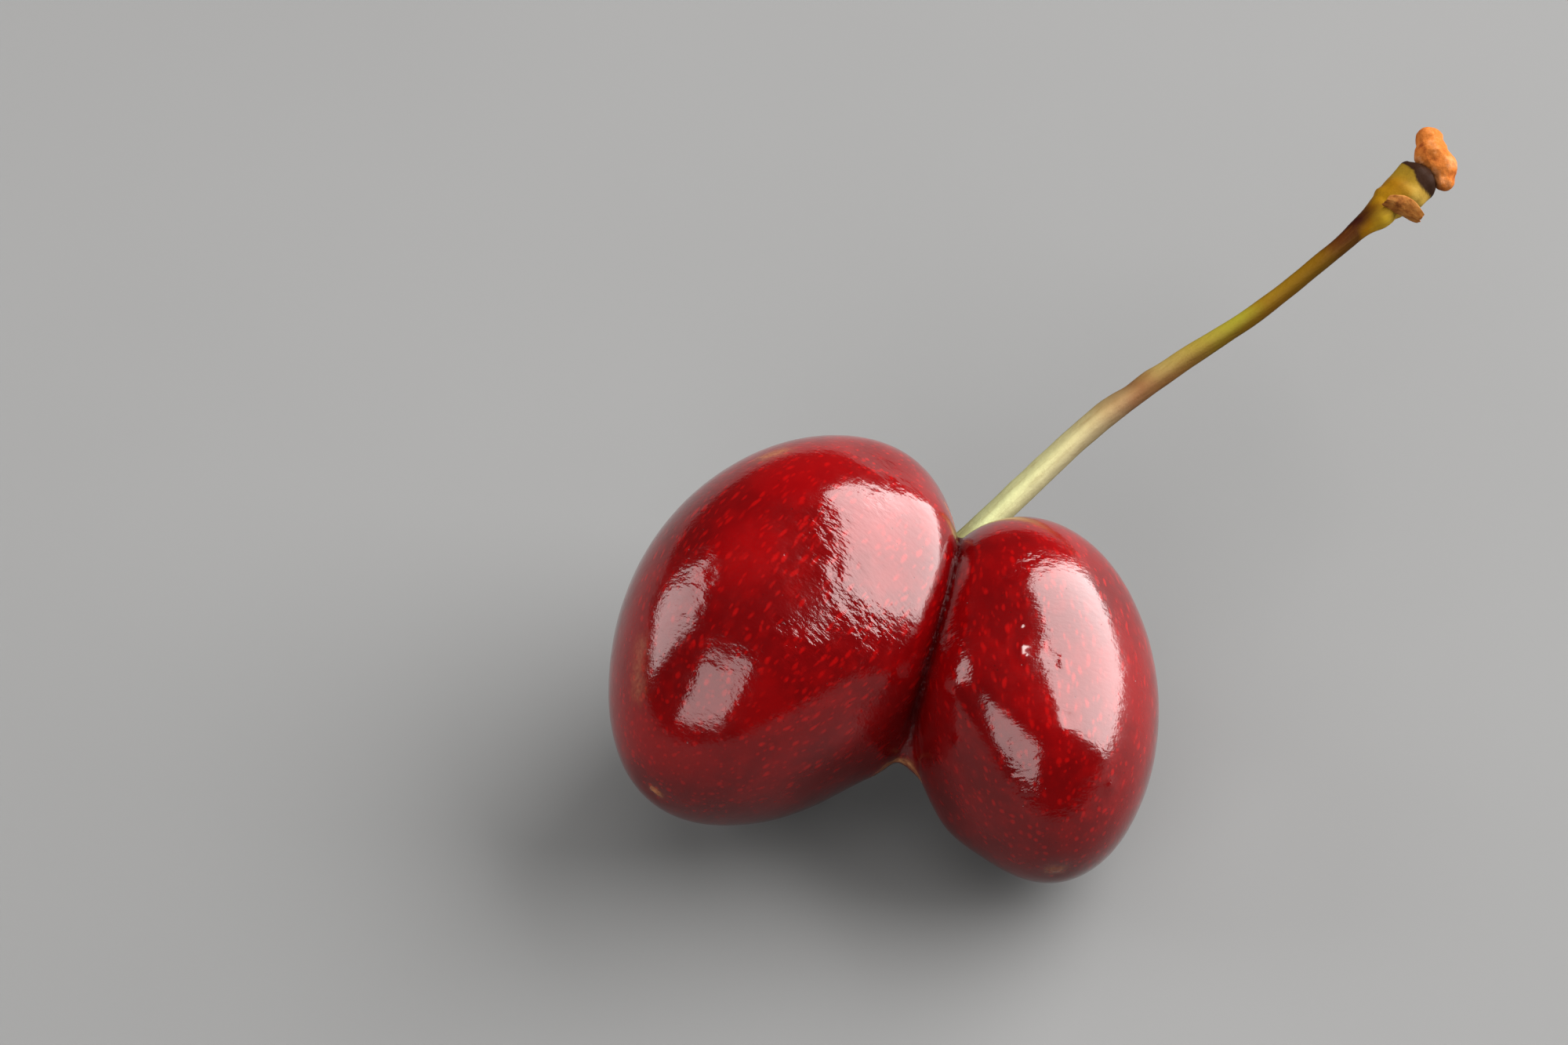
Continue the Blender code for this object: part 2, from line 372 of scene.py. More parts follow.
def build_fruit():
    """Both lobes as one skin, with its web, socket, rest spots and marks."""
    shape = bmesh.new()
    for lobe in (LEFT_LOBE, RIGHT_LOBE):
        made = bmesh.ops.create_uvsphere(shape, u_segments=EGG_SEGMENTS, v_segments=EGG_RINGS,
                                         radius=1.0)
        axes = lobe_axes(lobe)
        place = Matrix([[*axes[row], lobe["middle"][row]] for row in range(3)] + [[0, 0, 0, 1]])
        bmesh.ops.scale(shape, vec=lobe["half_size"], verts=made["verts"])
        bmesh.ops.transform(shape, matrix=place, verts=made["verts"])
    web = bmesh.ops.create_icosphere(shape, subdivisions=3, radius=WEB_BALL_RADIUS)
    bmesh.ops.translate(shape, vec=WEB_BALL_MIDDLE, verts=web["verts"])
    fruit = settled(fused(object_of("cherry_fruit", shape), ROUGH_GRAIN))
    fruit = settled(fused(fruit, SKIN_GRAIN))
    points = points_of(fruit.data)
    height, crinkle = skin_relief(points)
    keep(fruit.data, "crinkle", crinkle)
    keep(fruit.data, "scar", scar_share(points))
    keep(fruit.data, "lobe_place", lobe_place(points))
    keep(fruit.data, "speck", speck_share(points))
    left, right = lobe_depths(points)
    keep(fruit.data, "groove", np.exp(-np.maximum(left, right) / GROOVE_REACH))
    rest = np.clip(points[:, 2] / REST_FADE, 0.0, 1.0)
    points += skin_slope(points) * (height * rest)[:, None]
    points[:, 2] = np.maximum(points[:, 2], 0.0)
    put_points(fruit.data, points)
    return into_frame(fruit)


# ---- the stem ----
STEM_RINGS, STEM_SIDES = 320, 56
END_RINGS, END_DEPTH = 0.08, 1.0        # the torn end: its share of the rings, and its length
COLLAR_START, COLLAR_LENGTH = 0.9, 0.1  # shares of the stem's length
ROUTE_STEP = 0.004                      # the share over which the stem's direction is taken
FLUTES, FLUTE_TWIST, FLUTE_HEIGHT = 5.0, 3.0, 0.03  # shallow ribs that wind round the stalk
LUMP_SIZE, LUMP_HEIGHT = 1.6, 0.05
RIM_RAGGED, RIM_SWAY = 0.18, 0.35       # how uneven the collar's rim is, outwards and lengthways
TORN_HEIGHT, TORN_SIZE, TORN_GRAIN = 0.14, 0.5, 0.22
# The dark of the torn end starts here, and further back round the turn that it faces.
TORN_START, TORN_BACK, TORN_EASE = 0.9985, 0.015, 0.002
TORN_FACING, TORN_SPAN = 42.0, 42.0
BARK_LENGTH = 40.0                      # the stem's length in its bark pattern
LIGHT_FLANK = math.radians(148.0)       # the turn of the stem's upper left side
# Swellings and hollows: share of the length, turn in degrees, their reaches, and the height as a
# share of the radius.
STEM_BUMPS = [
    (0.335, 120.0, 0.018, 80.0, 0.07), (0.385, 130.0, 0.020, 90.0, -0.12),
    (0.430, 140.0, 0.014, 60.0, 0.05), (0.300, -40.0, 0.030, 50.0, 0.04),
    (0.660, 60.0, 0.020, 90.0, 0.05), (0.780, 100.0, 0.020, 70.0, 0.05),
    (0.905, 30.0, 0.013, 60.0, 0.16), (0.928, 60.0, 0.006, 150.0, -0.09),
    (0.934, 140.0, 0.008, 30.0, 0.14), (0.958, 115.0, 0.013, 32.0, 0.09),
    (0.962, 55.0, 0.012, 26.0, 0.12), (0.972, 0.0, 0.014, 30.0, 0.14),
    (0.975, 85.0, 0.010, 16.0, -0.07), (0.960, 200.0, 0.015, 40.0, 0.10),
    (0.965, 270.0, 0.015, 40.0, 0.08),
]


def route_at(share):
    """Centre and radius of the stem at a share of its length (Catmull-Rom)."""
    points = np.array(STEM_POINTS)
    points = np.vstack([2 * points[0] - points[1], points, 2 * points[-1] - points[-2]])
    steps = np.linalg.norm(np.diff(points[1:-1, :3], axis=0), axis=1)
    ends = np.concatenate([[0.0], np.cumsum(steps)]) / steps.sum()
    index = int(np.clip(np.searchsorted(ends, share, side="right") - 1, 0, len(steps) - 1))
    t = (share - ends[index]) / (ends[index + 1] - ends[index])
    a, b, c, d = points[index:index + 4]
    return 0.5 * (2 * b + (c - a) * t + (2 * a - 5 * b + 4 * c - d) * t * t
                  + (3 * b - a - 3 * c + d) * t ** 3)


def stem_place(share, turn):
    """The stem's centre, the way out to its bark, its radius, and the way along it."""
    here, ahead = route_at(share), route_at(min(share + ROUTE_STEP, 1.0))
    back = route_at(max(share - ROUTE_STEP, 0.0))
    way = unit((ahead - back)[:3])
    side = unit(np.cross(way, (0.0, 0.0, 1.0)))
    top = np.cross(side, way)
    out = math.cos(turn) * side + math.sin(turn) * top
    return here[:3], out, here[3], way


def turn_between(turn, facing):
    """The angle in degrees from a facing to a turn in radians, between -180 and 180."""
    return (math.degrees(turn) - facing + 180.0) % 360.0 - 180.0


def stem_bump(share, turn):
    """How far the bark stands proud at a place, as a share of the radius."""
    height = 0.0
    for where, facing, reach, span, rise in STEM_BUMPS:
        aside = turn_between(turn, facing)
        height += rise * math.exp(-((share - where) / reach) ** 2 - (aside / span) ** 2)
    return height


def build_stem():
    """The stalk: a rolled sheet with flutes, lumps and a flared, ragged collar."""
    shape = bmesh.new()
    bmesh.ops.create_grid(shape, x_segments=STEM_RINGS, y_segments=STEM_SIDES, size=0.5,
                          calc_uvs=False)
    along = shape.verts.layers.float.new("along")
    flank = shape.verts.layers.float.new("flank")
    torn_end = shape.verts.layers.float.new("torn")
    bark = shape.verts.layers.float_vector.new("bark")
    for vert in shape.verts:
        ring, turn = vert.co.x + 0.5, 2.0 * math.pi * (vert.co.y + 0.5)
        share = min(ring / (1.0 - END_RINGS), 1.0)
        closing = max(0.0, (ring - 1.0 + END_RINGS) / END_RINGS)
        centre, out, radius, way = stem_place(share, turn)
        collar = max(0.0, (share - COLLAR_START) / COLLAR_LENGTH)
        flute = FLUTE_HEIGHT * math.cos(FLUTES * turn + FLUTE_TWIST * share) * (1.0 - collar)
        lump = LUMP_HEIGHT * noise.noise(Vector(centre + out * radius) / LUMP_SIZE)
        rim = noise.noise(Vector((math.cos(turn), math.sin(turn), 4.0)) * 1.7)
        ragged = RIM_RAGGED * collar * rim
        proud = 1.0 + flute + lump + ragged + stem_bump(share, turn)
        inward = math.cos(closing * math.pi / 2.0)
        ahead = END_DEPTH * math.sin(closing * math.pi / 2.0) + RIM_SWAY * collar * ragged * inward
        vert.co = centre + out * radius * proud * inward + way * ahead
        if closing > 0.0:
            torn = noise.noise(vert.co / TORN_SIZE) + 0.5 * noise.noise(vert.co / TORN_GRAIN)
            vert.co += Vector(way) * TORN_HEIGHT * torn * math.sin(closing * math.pi) ** 0.5
        back = TORN_BACK * math.exp(-(turn_between(turn, TORN_FACING) / TORN_SPAN) ** 2)
        dark = max(0.0, (share - (TORN_START - back)) / TORN_EASE)
        vert[along] = share
        vert[torn_end] = min(1.0, dark + closing * 9.0)
        vert[flank] = 0.5 + 0.5 * math.cos(turn - LIGHT_FLANK)
        vert[bark] = (math.cos(turn), math.sin(turn), share * BARK_LENGTH)
    bmesh.ops.remove_doubles(shape, verts=shape.verts, dist=0.002)
    rims = [edge for edge in shape.edges if edge.is_boundary]
    bmesh.ops.holes_fill(shape, edges=rims, sides=0)
    bmesh.ops.recalc_face_normals(shape, faces=shape.faces)
    return into_frame(object_of("cherry_stem", shape))


# ---- the scraps at the collar ----
# The crumb's lumps: middles, and half sizes before they are turned.
CORK_LUMPS = [
    ((31.05, 32.4, 18.05), (0.86, 0.86, 0.88)),
    ((31.15, 31.5, 17.75), (1.08, 1.1, 1.1)),
    ((31.72, 30.8, 17.3), (1.05, 1.15, 1.1)),
    ((31.85, 30.05, 16.95), (0.72, 0.78, 0.75)),
]
CORK_TURN = (45.0, -10.0, 41.0)
CORK_GRAIN = 0.07                       # spacing of the cork's points
CORK_SMOOTHING = 14                     # rounds that melt the lumps into each other
KNOB_HEIGHT, KNOB_SIZE = 0.09, 0.7      # the cork's broad unevenness
CRUMB_HEIGHT, CRUMB_SIZE = 0.04, 0.3    # its fine unevenness
PIT_DEPTH, PIT_SIZE, PIT_OVER = 0.16, 0.5, 0.15     # pits form where the noise is over this
NECK_END, NECK_EASE = 1.0, 0.45         # how far past the collar the crumb is darkened


def turned(angles):
    """A rotation by three angles in degrees."""
    return Euler([math.radians(angle) for angle in angles]).to_matrix().to_4x4()


def smoothed(shape, rounds):
    """Even out a bmesh a number of times."""
    for _ in range(rounds):
        bmesh.ops.smooth_vert(shape, verts=shape.verts, factor=0.5, use_axis_x=True,
                              use_axis_y=True, use_axis_z=True)


def build_cork():
    """The corky crumb of spur: fused lumps with a broken, pitted surface."""
    shape = bmesh.new()
    for middle, size in CORK_LUMPS:
        made = bmesh.ops.create_icosphere(shape, subdivisions=4, radius=1.0)
        bmesh.ops.scale(shape, vec=size, verts=made["verts"])
        bmesh.ops.transform(shape, matrix=Matrix.Translation(middle) @ turned(CORK_TURN),
                            verts=made["verts"])
    cork = fused(object_of("spur_crumb", shape), CORK_GRAIN)
    shape = bmesh.new()
    shape.from_mesh(cork.data)
    smoothed(shape, CORK_SMOOTHING)
    shape.normal_update()
    for vert in shape.verts:
        pit = max(0.0, noise.noise(vert.co / PIT_SIZE + Vector((9, 9, 9))) - PIT_OVER)
        rough = (KNOB_HEIGHT * noise.noise(vert.co / KNOB_SIZE)
                 + CRUMB_HEIGHT * noise.noise(vert.co / CRUMB_SIZE) - PIT_DEPTH * pit)
        vert.co += vert.normal * rough
    shape.to_mesh(cork.data)
    shape.free()
    centre, _, _, way = stem_place(1.0, 0.0)
    ahead = (points_of(cork.data) - centre) @ way
    keep(cork.data, "neck", np.clip((NECK_END - ahead) / NECK_EASE, 0.0, 1.0))
    return into_frame(cork)


SCALE_MIDDLE = (29.15, 27.1, 17.55)
SCALE_TURN = (-9.0, 30.0, -8.0)
SCALE_LENGTH, SCALE_WIDTH, SCALE_THICKNESS = 2.7, 1.45, 0.13
SCALE_CUP, SCALE_ARCH, SCALE_SINK = 0.35, 0.45, 0.1     # its bend across and along, and its depth
SCALE_WAVE, SCALE_RAGGED = 0.09, 0.10   # how wavy it is, and how uneven its tip
SCALE_SMOOTHING = 3


def build_bud_scale():
    """The dry bud scale: a cupped leaf with a ragged tip."""
    shape = bmesh.new()
    bmesh.ops.create_grid(shape, x_segments=40, y_segments=24, size=0.5)
    for vert in shape.verts:
        way, side = vert.co.x + 0.5, 2.0 * vert.co.y
        width = math.sin(math.pi * (0.12 + 0.78 * way)) ** 0.6
        torn = SCALE_RAGGED * noise.noise(Vector((side * 3.0, 2.0, 1.0))) * way
        wave = SCALE_WAVE * noise.noise(Vector((way * 4.0, side * 2.0, 6.0)))
        vert.co = Vector((
            SCALE_LENGTH * (way - 0.5 + torn),
            SCALE_CUP * (side * width) ** 2 - SCALE_ARCH * (way - 0.5) ** 2 - SCALE_SINK + wave,
            SCALE_WIDTH / 2.0 * side * width))
    bmesh.ops.solidify(shape, geom=shape.faces[:], thickness=SCALE_THICKNESS)
    bmesh.ops.recalc_face_normals(shape, faces=shape.faces)
    smoothed(shape, SCALE_SMOOTHING)
    bmesh.ops.transform(shape, matrix=Matrix.Translation(SCALE_MIDDLE) @ turned(SCALE_TURN),
                        verts=shape.verts)
    return into_frame(object_of("dry_bud_scale", shape))


# ---- materials ----
class Finish:
    """A Principled material with short calls for the nodes that feed it."""

    def __init__(self, name):
        self.material = bpy.data.materials.new(name)
        self.material.use_nodes = True
        self.tree = self.material.node_tree
        self.shader = self.tree.nodes["Principled BSDF"]

    def set(self, **values):
        """Set the shader's own sockets, named with _ for spaces."""
        for name, value in values.items():
            self.shader.inputs[name.replace("_", " ")].default_value = value

    def feed(self, socket, source):
        """Link a node's output to one of the shader's sockets."""
        self.tree.links.new(source, self.shader.inputs[socket])

    def node(self, kind, inputs=(), **settings):
        """Add a node; inputs maps a socket's name or number to a value or an output."""
        made = self.tree.nodes.new(kind)
        for name, value in settings.items():
            setattr(made, name, value)
        for name, value in dict(inputs).items():
            if isinstance(value, bpy.types.NodeSocket):
                self.tree.links.new(value, made.inputs[name])
            else:
                made.inputs[name].default_value = value
        return made

    def attribute(self, name, output="Fac"):
        """A value stored on the mesh's points."""
        return self.node("ShaderNodeAttribute", attribute_name=name).outputs[output]

    def place(self):
        """Object coordinates in millimetres."""
        here = self.node("ShaderNodeTexCoord").outputs["Object"]
        return self.scaled(here, (1000.0, 1000.0, 1000.0))

    def scaled(self, vector, by):
        """Multiply a vector part by part."""
        return self.node("ShaderNodeVectorMath", {0: vector, 1: by},
                         operation="MULTIPLY").outputs[0]

    def added(self, vector, other):
        """Add two vectors."""
        return self.node("ShaderNodeVectorMath", {0: vector, 1: other},
                         operation="ADD").outputs[0]

    def maths(self, operation, first, second=0.0, clamp=False):
        """One Math node."""
        return self.node("ShaderNodeMath", {0: first, 1: second}, operation=operation,
                         use_clamp=clamp).outputs[0]

    def grain(self, vector, size, detail=2.0, roughness=0.5, output="Fac"):
        """Noise with lumps about this size, in the vector's own units."""
        return self.node("ShaderNodeTexNoise", {"Vector": vector, "Scale": 1.0 / size,
                         "Detail": detail, "Roughness": roughness}).outputs[output]

    def cells(self, vector, size, output="Distance"):
        """Voronoi cells about this size."""
        return self.node("ShaderNodeTexVoronoi",
                         {"Vector": vector, "Scale": 1.0 / size}).outputs[output]

    def between(self, value, low, high, to_low=0.0, to_high=1.0):
        """Ease a value from one range to another, clamped."""
        return self.node("ShaderNodeMapRange", {"Value": value, "From Min": low,
                         "From Max": high, "To Min": to_low, "To Max": to_high},
                         interpolation_type="SMOOTHSTEP", clamp=True).outputs["Result"]

    def blend(self, share, first, second):
        """Mix two colours."""
        made = self.node("ShaderNodeMix", {0: share, 6: first, 7: second}, data_type="RGBA")
        return made.outputs[2]

    def ramp(self, value, stops):
        """A colour ramp through places and colours."""
        made = self.node("ShaderNodeValToRGB", {"Fac": value})
        band = made.color_ramp
        while len(band.elements) < len(stops):
            band.elements.new(0.5)
        for element, (where, colour) in zip(band.elements, stops):
            element.position, element.color = where, (*colour, 1.0)
        return made.outputs["Color"]

    def bump(self, height, distance, strength=1.0):
        """Raise a height field by a distance in metres."""
        return self.node("ShaderNodeBump", {"Height": height, "Distance": distance,
                         "Strength": strength}).outputs["Normal"]


# How high the fine texture stands, in metres.
SKIN_TOOTH, STEM_TOOTH, CORK_TOOTH, SCALE_TOOTH = 0.00005, 0.00008, 0.00012, 0.00006
SKIN_DEEP, SKIN_BRIGHT = (0.070, 0.0003, 0.0006, 1), (0.114, 0.0003, 0.0007, 1)
SKIN_MOTTLE = (0.14, 0.0005, 0.0007, 1)
# The colour below is painted shade, darkening the skin towards the table.
SKIN_LOW_SHADE = (0.022, 0.0001, 0.0004, 1)               # towards the table
# Light flecks: the size of their cells, their reach in a cell, the share of cells left plain, and
# the colour.
FLECKS = [
    (0.46, 0.44, 0.40, (0.26, 0.0012, 0.0011, 1)),
    (0.30, 0.42, 0.45, (0.22, 0.0009, 0.0009, 1)),
]
# The second colour below is painted shade for the seam between the lobes; the first darkens the
# pores.
PORE_DARK, SEAM_SHADE = (0.03, 0.001, 0.001, 1), (0.012, 0.0002, 0.0004, 1)
SCAR_TONES = [(0.3, (0.13, 0.035, 0.012)), (0.7, (0.30, 0.13, 0.05))]
CRUMB_PALE = (0.30, 0.19, 0.18, 1)
SKIN_GLOSS_TINT = (1.0, 0.87, 0.86, 1.0)


def skin_finish():
    """Glossy dark red cherry skin with lighter flecks, fine pores and dry tan scars, and painted
    shade in the seam and towards the table.
    """
    skin = Finish("cherry_skin")
    place = skin.attribute("lobe_place", "Vector")
    object_place = skin.place()
    sway = skin.scaled(skin.grain(place, 1.4, 2.0, output="Color"), (0.5, 0.5, 0.9))
    swayed = skin.added(place, sway)

    broad = skin.between(skin.grain(place, 5.5, 3.0), 0.36, 0.66)
    colour = skin.blend(broad, SKIN_DEEP, SKIN_BRIGHT)
    mottle = skin.between(skin.grain(skin.scaled(swayed, (1.0, 1.0, 0.6)), 0.8, 2.0), 0.45, 0.75)
    colour = skin.blend(skin.maths("MULTIPLY", mottle, 0.4), colour, SKIN_MOTTLE)
    # Painted shade: the skin darkens towards the table, and its light flecks fade there.
    height = skin.node("ShaderNodeSeparateXYZ", {0: object_place}).outputs["Z"]
    low = skin.between(height, 2.0, 14.0, 0.6, 0.0)
    clear = skin.between(height, 3.0, 13.0, 0.24, 0.48)
    colour = skin.blend(low, colour, SKIN_LOW_SHADE)

    for size, reach, plain, tint in FLECKS:
        spot_place = skin.scaled(swayed, (1.0, 1.0, 0.4))
        away = skin.cells(spot_place, size)
        lot = skin.cells(spot_place, size, output="Color")
        pick = skin.between(skin.node("ShaderNodeSeparateColor", {0: lot}).outputs[0],
                            plain, plain + 0.25)
        spot = skin.between(away, reach * 0.3, reach, 1.0, 0.0)
        share = skin.maths("MULTIPLY", spot, pick)
        colour = skin.blend(skin.maths("MULTIPLY", share, clear), colour, tint)

    pore = skin.between(skin.cells(place, 0.85), 0.035, 0.085, 1.0, 0.0)
    colour = skin.blend(skin.maths("MULTIPLY", pore, 0.6), colour, PORE_DARK)
    # Painted shade in the seam between the lobes.
    groove = skin.attribute("groove")
    seam_shade = skin.between(groove, 0.15, 0.95)
    colour = skin.blend(skin.maths("MULTIPLY", seam_shade, 0.93), colour, SEAM_SHADE)

    scar = skin.attribute("scar")
    colour = skin.blend(scar, colour, skin.ramp(skin.grain(object_place, 0.25, 3.0), SCAR_TONES))
    speck = skin.attribute("speck")
    colour = skin.blend(skin.between(speck, 0.3, 0.9), colour, CRUMB_PALE)
    skin.feed("Base Color", colour)

    rough = skin.between(skin.grain(place, 0.9, 3.0), 0.3, 0.7, 0.10, 0.15)
    rough = skin.maths("ADD", rough, skin.maths("MULTIPLY", scar, 0.45))
    rough = skin.maths("ADD", rough, skin.maths("MULTIPLY", speck, 0.3), clamp=True)
    skin.feed("Roughness", rough)

    fine = skin.grain(place, 0.14, 2.0)
    ripple = skin.grain(skin.scaled(place, (0.5, 0.5, 1.0)), 0.26, 2.0)
    crinkle = skin.attribute("crinkle")
    waviness = skin.maths("ADD", 0.3, skin.maths("MULTIPLY", crinkle, 1.2))
    tooth = skin.maths("ADD", skin.maths("MULTIPLY", fine, 0.10),
                       skin.maths("MULTIPLY", ripple, waviness))
    tooth = skin.maths("SUBTRACT", tooth, skin.maths("MULTIPLY", pore, 0.12))
    skin.feed("Normal", skin.bump(tooth, SKIN_TOOTH))
    skin.feed("Specular IOR Level", skin.between(groove, 0.5, 0.85, 0.5, 0.0))
    skin.set(IOR=1.45, Specular_Tint=SKIN_GLOSS_TINT)
    return skin.material


# Shares of the stem's length and its colours, on its upper left and its lower right side; the two
# sides differ partly in the stem's own colour and partly by painted light and shade.
STEM_UPPER = [
    (0.0, (0.20, 0.19, 0.07)), (0.06, (0.33, 0.345, 0.17)), (0.20, (0.31, 0.295, 0.145)),
    (0.27, (0.28, 0.245, 0.120)), (0.32, (0.225, 0.160, 0.071)), (0.36, (0.165, 0.102, 0.044)),
    (0.40, (0.125, 0.057, 0.021)), (0.45, (0.155, 0.105, 0.032)), (0.51, (0.140, 0.097, 0.016)),
    (0.60, (0.130, 0.110, 0.008)), (0.66, (0.107, 0.058, 0.003)), (0.77, (0.076, 0.034, 0.001)),
    (0.82, (0.036, 0.009, 0.001)), (0.87, (0.014, 0.002, 0.001)), (0.90, (0.065, 0.024, 0.001)),
    (0.93, (0.155, 0.074, 0.002)), (0.955, (0.14, 0.060, 0.002)), (0.98, (0.14, 0.080, 0.006)),
    (1.0, (0.12, 0.070, 0.006)),
]
STEM_LOWER = [
    (0.0, (0.18, 0.16, 0.07)), (0.06, (0.31, 0.30, 0.15)), (0.20, (0.28, 0.245, 0.135)),
    (0.30, (0.205, 0.155, 0.083)), (0.38, (0.125, 0.055, 0.024)), (0.45, (0.085, 0.038, 0.012)),
    (0.55, (0.062, 0.037, 0.003)), (0.66, (0.058, 0.025, 0.001)), (0.77, (0.047, 0.022, 0.001)),
    (0.84, (0.033, 0.011, 0.001)), (0.875, (0.14, 0.060, 0.001)), (0.905, (0.27, 0.170, 0.012)),
    (0.925, (0.22, 0.130, 0.012)), (0.95, (0.20, 0.105, 0.008)), (0.97, (0.25, 0.160, 0.030)),
    (0.985, (0.19, 0.110, 0.015)), (1.0, (0.12, 0.070, 0.008)),
]
# The first colour below is painted shade for the stem's edges; the second is its own streaks.
STEM_EDGE_SHADE, STEM_STREAK = (0.03, 0.02, 0.008, 1), (0.09, 0.040, 0.004, 1)
TORN_DARK = (0.015, 0.006, 0.003, 1)


def stem_finish():
    """Pale green stalk that turns tan, olive and ochre towards the collar, with painted shade on
    its edges near the fruit; its two sides differ partly in their own colour and partly by painted
    light and shade.
    """
    stem = Finish("stem_green")
    along, flank = stem.attribute("along"), stem.attribute("flank")
    bark, place = stem.attribute("bark", "Vector"), stem.place()
    wander = stem.maths("MULTIPLY", stem.maths("SUBTRACT", stem.grain(place, 1.6, 3.0), 0.5), 0.05)
    share = stem.maths("ADD", along, wander)
    # Partly painted light and shade: the upper left side takes one ramp and the lower right side
    # the other.
    upper, lower = stem.ramp(share, STEM_UPPER), stem.ramp(share, STEM_LOWER)
    side = stem.between(stem.maths("ADD", flank, stem.maths("MULTIPLY", wander, 4.0)), 0.1, 0.8)
    colour = stem.blend(side, lower, upper)
    # Painted shade: the stem's edges darken on its first stretch from the fruit.
    edge = stem.maths("ABSOLUTE", stem.maths("SUBTRACT", flank, 0.5))
    edge_shade = stem.between(edge, 0.08, 0.42, 0.0, stem.between(along, 0.36, 0.48, 0.42, 0.0))
    colour = stem.blend(edge_shade, colour, STEM_EDGE_SHADE)
    streak = stem.grain(stem.scaled(bark, (1.6, 1.6, 0.25)), 0.5, 4.0)
    colour = stem.blend(stem.between(streak, 0.5, 0.75, 0.0, 0.25), colour, STEM_STREAK)
    colour = stem.blend(stem.attribute("torn"), colour, TORN_DARK)
    stem.feed("Base Color", colour)
    stem.set(Roughness=0.55, IOR=1.45, Specular_IOR_Level=0.03)
    height = stem.maths("ADD", stem.grain(stem.scaled(bark, (1.5, 1.5, 0.6)), 0.35, 3.0),
                        stem.maths("MULTIPLY", stem.grain(place, 0.12, 2.0), 0.3))
    stem.feed("Normal", stem.bump(height, STEM_TOOTH, 0.7))
    return stem.material


CORK_TONES = [
    (0.26, (0.15, 0.030, 0.005)), (0.38, (0.26, 0.070, 0.011)), (0.50, (0.32, 0.096, 0.017)),
    (0.70, (0.36, 0.155, 0.065)),
]
CORK_NECK = (0.11, 0.028, 0.006, 1)


def cork_finish():
    """Dry orange-brown cork, paler where it is worn and dark in its pits."""
    cork = Finish("spur_cork")
    place = cork.place()
    colour = cork.ramp(cork.grain(place, 0.9, 4.0, 0.6), CORK_TONES)
    cork.feed("Base Color", cork.blend(cork.attribute("neck"), colour, CORK_NECK))
    cork.set(Roughness=0.85, IOR=1.4, Specular_IOR_Level=0.08)
    height = cork.grain(place, 0.22, 5.0, 0.65)
    cork.feed("Normal", cork.bump(height, CORK_TOOTH, 0.8))
    return cork.material


SCALE_TONES = [
    (0.3, (0.09, 0.024, 0.005)), (0.5, (0.20, 0.070, 0.013)), (0.75, (0.27, 0.120, 0.030)),
]


def bud_scale_finish():
    """Papery red-brown bud scale with darker mottling."""
    scale = Finish("bud_scale")
    place = scale.place()
    scale.feed("Base Color", scale.ramp(scale.grain(place, 0.6, 4.0, 0.6), SCALE_TONES))
    scale.set(Roughness=0.8, IOR=1.4, Specular_IOR_Level=0.1)
    scale.feed("Normal", scale.bump(scale.grain(place, 0.18, 4.0), SCALE_TOOTH, 0.7))
    return scale.material


TABLE_TONES = (0.116, 0.115, 0.113, 1), (0.126, 0.125, 0.123, 1)


def table_finish():
    """A plain pale tabletop with the faintest unevenness."""
    table = Finish("pale_table")
    place = table.place()
    table.feed("Base Color", table.blend(table.grain(place, 45.0, 3.0), *TABLE_TONES))
    table.set(Roughness=0.85, Specular_IOR_Level=0.3)
    return table.material


# ---- pieces ----
def dress(piece, node, material):
    """Give a piece its finish and let it stand for its node."""
    piece.data.materials.clear()
    piece.data.materials.append(material)
    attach(piece, "root")
    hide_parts(node)


dress(build_fruit(), "twin_fruit", skin_finish())
dress(build_stem(), "stem", stem_finish())
dress(build_cork(), "spur_cork", cork_finish())
dress(build_bud_scale(), "bud_scale", bud_scale_finish())


# ---- the stage ----
TABLE_SPREAD = 3.0                              # half the tabletop's width, in metres
LIGHT_DISTANCE = 0.7                            # metres from the middle of the fruit
LIGHT_MIDDLE = Vector((-0.01, -0.01, 0.01))
# Bearing from +Y towards +X, height, width and tallness in degrees, and radiance.
WINDOWS = {
    "window_right": (67.0, 31.0, 67.3, 61.0, 11.6),
    "window_left": (-77.5, 25.3, 30.0, 37.4, 6.0),
    "window_front": (-153.4, 27.9, 41.2, 35.0, 5.2),
}
CEILING = (0.0, 84.0, 60.0, 60.0, 2.4)          # brightens the table, and isn't mirrored
ROOM_COLOUR, ROOM_STRENGTH = (1.0, 0.98, 0.96, 1.0), 0.06
LENS, SENSOR_WIDTH = 130.0, 36.0
CAMERA_DISTANCE, CAMERA_HEIGHT = 0.344, 50.0    # metres, degrees
AIM = Vector((-0.01591, -0.00076, 0.010))       # what the middle of the view looks at


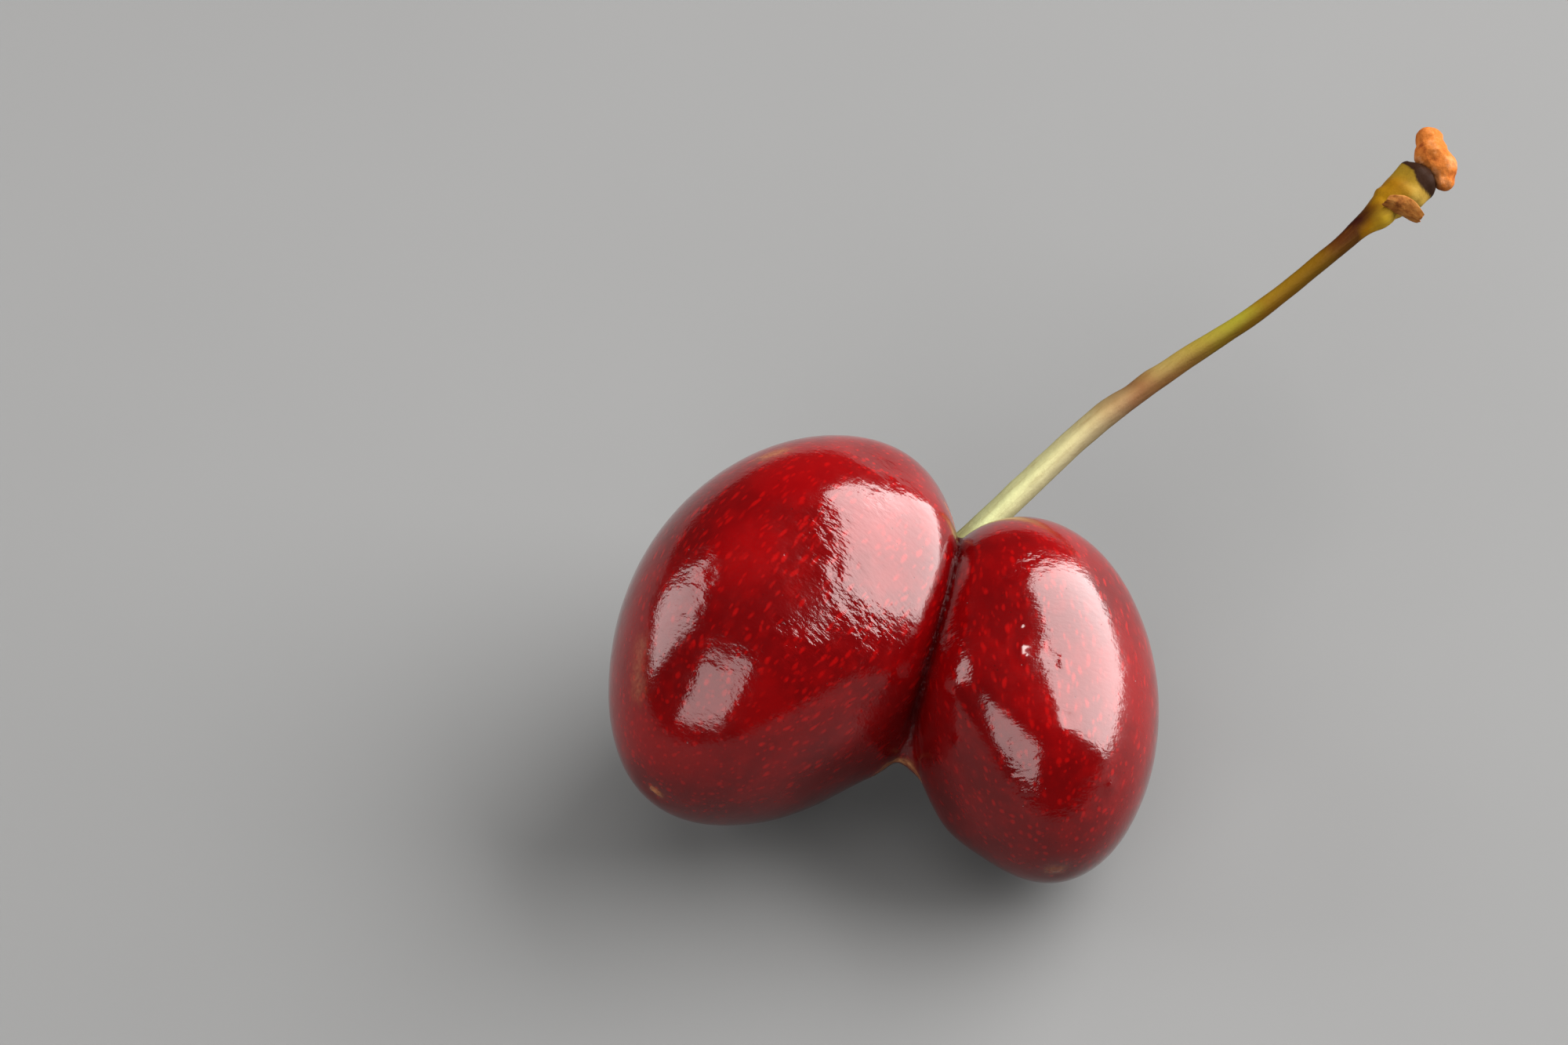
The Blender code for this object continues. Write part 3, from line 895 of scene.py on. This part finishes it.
def build_table():
    """The tabletop."""
    shape = bmesh.new()
    bmesh.ops.create_grid(shape, x_segments=2, y_segments=2, size=TABLE_SPREAD)
    table = object_of("table", shape)
    table.data.materials.append(table_finish())


def soft_light(name, bearing, height, wide, tall, radiance, mirrored=True):
    """A soft studio panel that faces the fruit."""
    bearing, height = math.radians(bearing), math.radians(height)
    way = Vector((math.sin(bearing) * math.cos(height), math.cos(bearing) * math.cos(height),
                  math.sin(height)))
    data = bpy.data.lights.new(name, "AREA")
    data.shape = "RECTANGLE"
    data.size = 2.0 * LIGHT_DISTANCE * math.tan(math.radians(wide) / 2.0)
    data.size_y = 2.0 * LIGHT_DISTANCE * math.tan(math.radians(tall) / 2.0)
    data.energy = math.pi * data.size * data.size_y * radiance
    panel = bpy.data.objects.new(name, data)
    panel.location = way * LIGHT_DISTANCE + LIGHT_MIDDLE
    panel.rotation_euler = (-way).to_track_quat("-Z", "Y").to_euler()
    panel.visible_camera = False
    panel.visible_glossy = mirrored
    bpy.context.scene.collection.objects.link(panel)


def room_light(colour, strength):
    """Even light from all round."""
    world = bpy.data.worlds.new("room")
    world.use_nodes = True
    sky = world.node_tree.nodes["Background"]
    sky.inputs["Color"].default_value = colour
    sky.inputs["Strength"].default_value = strength
    bpy.context.scene.world = world


def build_camera():
    """Looks along +Y and down on the fruit."""
    data = bpy.data.cameras.new("camera")
    data.lens = LENS
    data.sensor_width = SENSOR_WIDTH
    data.clip_start, data.clip_end = 0.01, 20.0
    camera = bpy.data.objects.new("camera", data)
    height = math.radians(CAMERA_HEIGHT)
    back = Vector((0.0, -math.cos(height), math.sin(height)))
    camera.location = AIM + back * CAMERA_DISTANCE
    camera.rotation_euler = (math.pi / 2.0 - height, 0.0, 0.0)
    bpy.context.scene.collection.objects.link(camera)
    bpy.context.scene.camera = camera


build_table()
for window, spans in WINDOWS.items():
    soft_light(window, *spans)
soft_light("ceiling", *CEILING, mirrored=False)
room_light(ROOM_COLOUR, ROOM_STRENGTH)
build_camera()
bpy.context.scene.view_settings.view_transform = "Standard"
